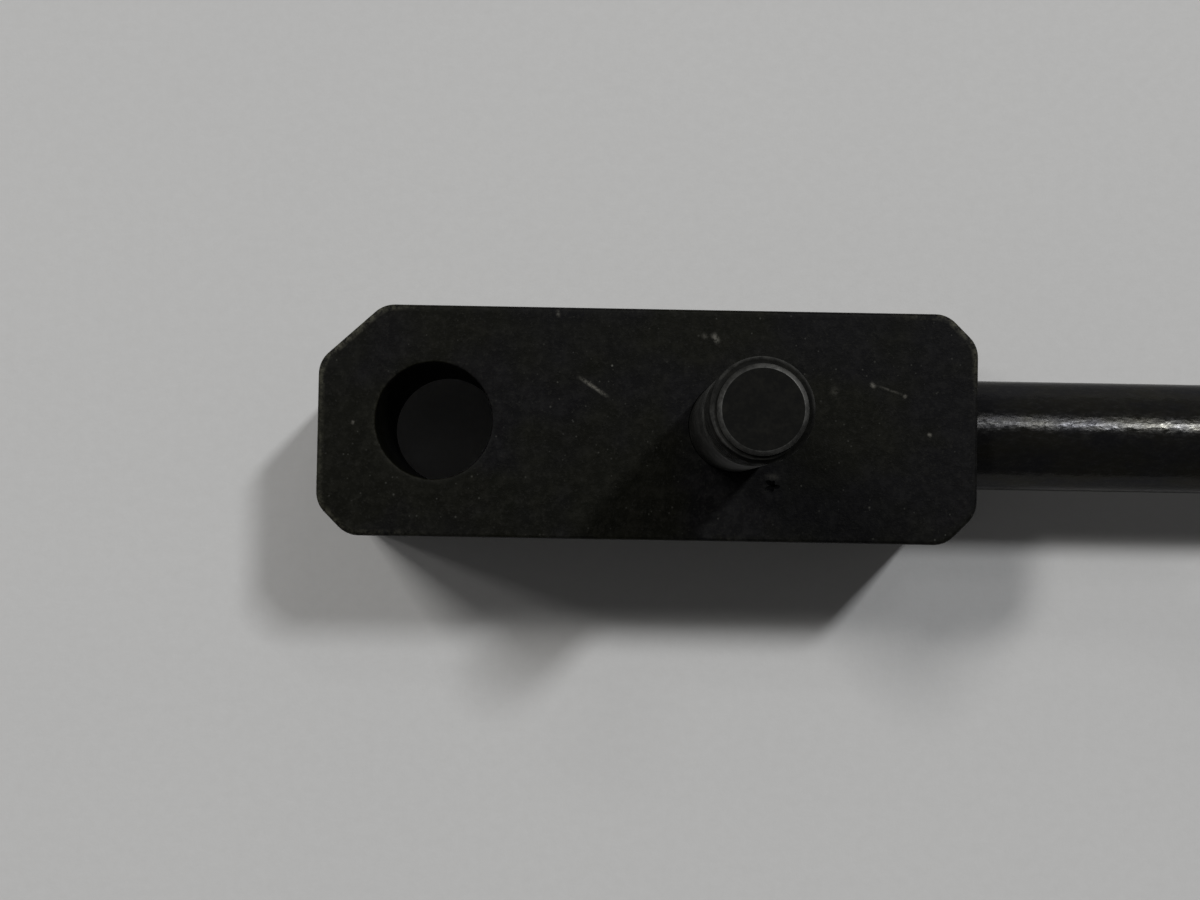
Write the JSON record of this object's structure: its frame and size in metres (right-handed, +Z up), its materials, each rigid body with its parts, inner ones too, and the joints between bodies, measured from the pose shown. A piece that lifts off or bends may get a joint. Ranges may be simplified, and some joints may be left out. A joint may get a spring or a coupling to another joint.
{
  "type": "gas strut stay",
  "caption": "Gas spring stay with a square eye block at each end, the rod-end block carrying an upright threaded stud for a linked arm.",
  "frame": {"origin": "on the surface the strut lies on, under the middle of its box", "axes": "+X along the strut from the rod end to the tube end, +Z up along the stud, +Y across"},
  "size_m": [0.38, 0.022, 0.046],
  "materials": {
    "black_oxide": "satin",
    "nitrided_rod": "gloss",
    "tube_paint": "satin",
    "zinc_steel": "satin",
    "plain_steel": "satin",
    "guide_metal": "satin",
    "bush_bronze": "satin",
    "seal_rubber": "matte",
    "ring_plastic": "matte"
  },
  "bodies": {
    "cylinder": {"pressure_tube": "tube_paint", "dust_wiper": "seal_rubber", "rod_guide": "guide_metal", "guide_bush": "bush_bronze", "guide_o_ring": "seal_rubber", "seal_support_washer": "plain_steel", "rod_seal": "seal_rubber", "seal_backing_washer": "plain_steel", "end_plug": "zinc_steel", "end_plug_o_ring": "seal_rubber", "filling_ball": "plain_steel", "filling_screw": "black_oxide", "jam_nut": "zinc_steel", "tube_end_block": "black_oxide"},
    "piston_seal": {"piston_ring": "ring_plastic"},
    "rod": {"rod_end_block": "black_oxide", "link_stud": "black_oxide", "piston_rod": "nitrided_rod", "rebound_ring": "seal_rubber", "throttle_plate": "plain_steel", "piston_body": "zinc_steel", "piston_washer": "plain_steel"}
  },
  "joints": [
    {"name": "rod_slide", "type": "slide", "parent": "cylinder", "child": "piston_seal", "axis": [1, 0, 0], "range_m": [0, 0.1], "stiffness_N_per_m": 650, "springref_m": -0.308},
    {"name": "rod_turn", "type": "hinge", "parent": "piston_seal", "child": "rod", "pos_m": [-0.08, 0, 0.011], "axis": [1, 0, 0], "continuous": true}
  ]
}
